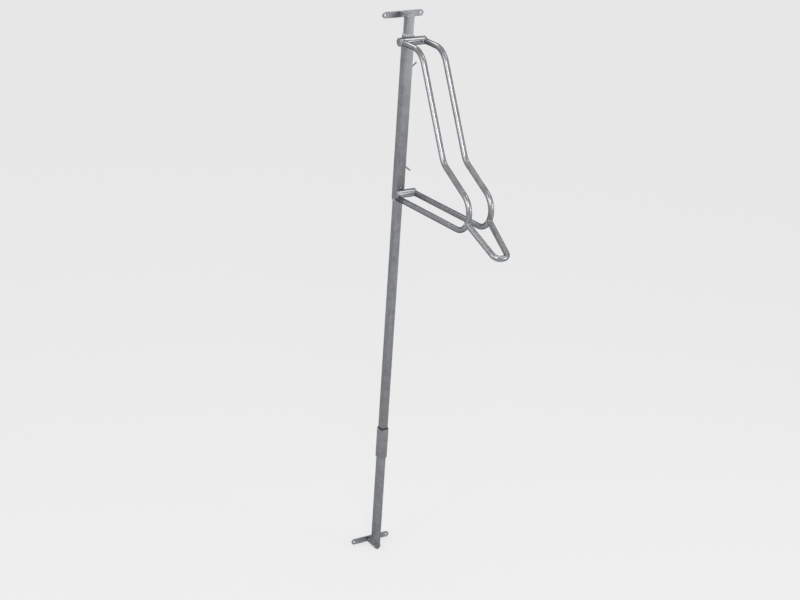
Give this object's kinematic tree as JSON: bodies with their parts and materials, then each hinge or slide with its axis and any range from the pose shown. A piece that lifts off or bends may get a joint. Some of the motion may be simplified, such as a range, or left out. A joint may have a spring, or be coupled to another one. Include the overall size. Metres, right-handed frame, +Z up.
{
  "type": "bicycle wall rack",
  "caption": "Wall-hung square mast with a spring-assisted sliding carriage and a bent-tube cradle that holds a bicycle upright by its front wheel.",
  "frame": {"origin": "centre of the bottom wall bar's back face, which lies on the wall", "axes": "+X along the wall to the right as seen from the room, +Y into the wall, +Z up along the mast"},
  "size_m": [0.15, 0.645, 1.9006],
  "materials": {
    "galvanised_steel": "zinc-galvanised, satin, faintly mottled",
    "bright_steel": "bright ground steel",
    "dark_steel": "blackened steel",
    "nylon": "natural nylon, matt",
    "rubber": "black, matt"
  },
  "bodies": {
    "mast": {"bottom_wall_bar": "galvanised_steel", "top_wall_bar": "galvanised_steel", "bottom_tongue": "galvanised_steel", "top_tongue": "galvanised_steel", "lower_mast_tube": "galvanised_steel", "upper_mast_tube": "galvanised_steel", "joint_sleeve": "galvanised_steel", "joint_spigot": "bright_steel", "joint_screw_lower": "dark_steel", "joint_screw_upper": "dark_steel", "lower_stop_ring": "rubber", "gas_spring_tube": "dark_steel", "gas_spring_gland": "bright_steel"},
    "carriage": {"carriage_sleeve": "galvanised_steel", "upper_guide_bush": "nylon", "lower_guide_bush": "nylon", "bush_rivet_lower": "dark_steel", "bush_rivet_upper": "dark_steel", "slide_carrier": "dark_steel", "carrier_bolt_upper": "dark_steel", "carrier_bolt_lower": "dark_steel", "gas_spring_piston": "nylon", "gas_spring_rod": "bright_steel", "upper_cross_tube": "galvanised_steel", "upper_tube_cap_left": "galvanised_steel", "upper_tube_cap_right": "galvanised_steel", "lower_cross_tube": "galvanised_steel", "lower_tube_cap_left": "galvanised_steel", "lower_tube_cap_right": "galvanised_steel", "cradle_bar_right": "galvanised_steel", "cradle_bar_left": "galvanised_steel", "tyre_hoop": "galvanised_steel", "side_hook_rod": "galvanised_steel"}
  },
  "joints": [
    {"name": "carriage_slide", "type": "slide", "parent": "mast", "child": "carriage", "axis": [0, 0, 1], "range_m": [-0.6, 0], "stiffness_N_per_m": 40, "springref_m": 2.2}
  ]
}
